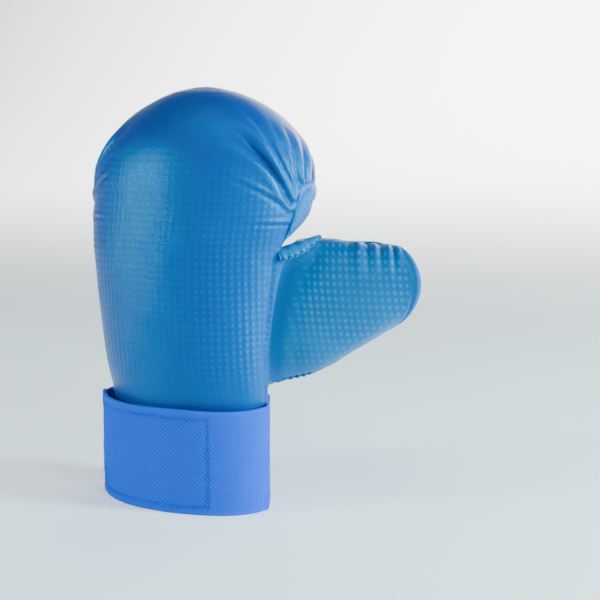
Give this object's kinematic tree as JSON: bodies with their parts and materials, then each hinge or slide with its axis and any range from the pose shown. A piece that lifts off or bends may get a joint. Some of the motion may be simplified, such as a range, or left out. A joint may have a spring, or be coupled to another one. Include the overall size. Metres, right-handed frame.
{
  "type": "padded karate mitt",
  "caption": "Padded left-hand karate mitt with a curled finger hood, an open palm with elastic bands, a separate thumb tube and a folding elastic wrist strap.",
  "frame": {"origin": "centre of the wrist cuff's lower rim, on the surface that the mitt stands on", "axes": "+Z runs from the wrist to the fingertips, -Y is the back of the hand, +Y is the palm, +X is the thumb side"},
  "size_m": [0.1799, 0.0856, 0.2155],
  "materials": {
    "embossed_leather": "satin",
    "smooth_leather": "satin",
    "elastic_webbing": "matte",
    "foam_padding": "matte",
    "lining_cloth": "matte",
    "loop_pile": "matte",
    "hook_tape": "matte",
    "binding_tape": "satin"
  },
  "bodies": {
    "hand": {"back_cover": "embossed_leather", "hand_foam": "foam_padding", "hand_lining": "lining_cloth", "side_panel_thumb": "smooth_leather", "side_panel_little": "smooth_leather", "heel_panel": "smooth_leather", "palm_band": "elastic_webbing", "loop_patch": "loop_pile", "wrist_strap": "elastic_webbing", "strap_anchor": "smooth_leather", "thumb_base_gusset": "smooth_leather"},
    "hood": {"hood_foam": "foam_padding", "hood_lining": "lining_cloth", "hood_gusset_thumb": "smooth_leather", "hood_gusset_little": "smooth_leather", "hood_facing": "smooth_leather", "finger_band": "elastic_webbing"},
    "thumb": {"thumb_back_cover": "embossed_leather", "thumb_palm_cover": "smooth_leather", "thumb_foam": "foam_padding", "thumb_lining": "lining_cloth", "thumb_mouth_binding": "binding_tape"},
    "strap": {"strap_flap": "elastic_webbing", "hook_patch": "hook_tape"}
  },
  "joints": [
    {"name": "hood_curl", "type": "hinge", "parent": "hand", "child": "hood", "pos_m": [0, -0.02848, 0.14], "axis": [-1, 0, 0], "range_deg": [0, 15], "stiffness_Nm_per_rad": 0.8, "deforming": ["back_cover"]},
    {"name": "thumb_swing", "type": "hinge", "parent": "hand", "child": "thumb", "pos_m": [0.052, 0.018, 0.1], "axis": [0, 0, 1], "range_deg": [-15, 20], "stiffness_Nm_per_rad": 0.25, "deforming": ["thumb_base_gusset"]},
    {"name": "strap_open", "type": "hinge", "parent": "hand", "child": "strap", "pos_m": [0.0483, -0.0065, 0.026], "axis": [0, 0, 1], "range_deg": [0, 120]}
  ]
}
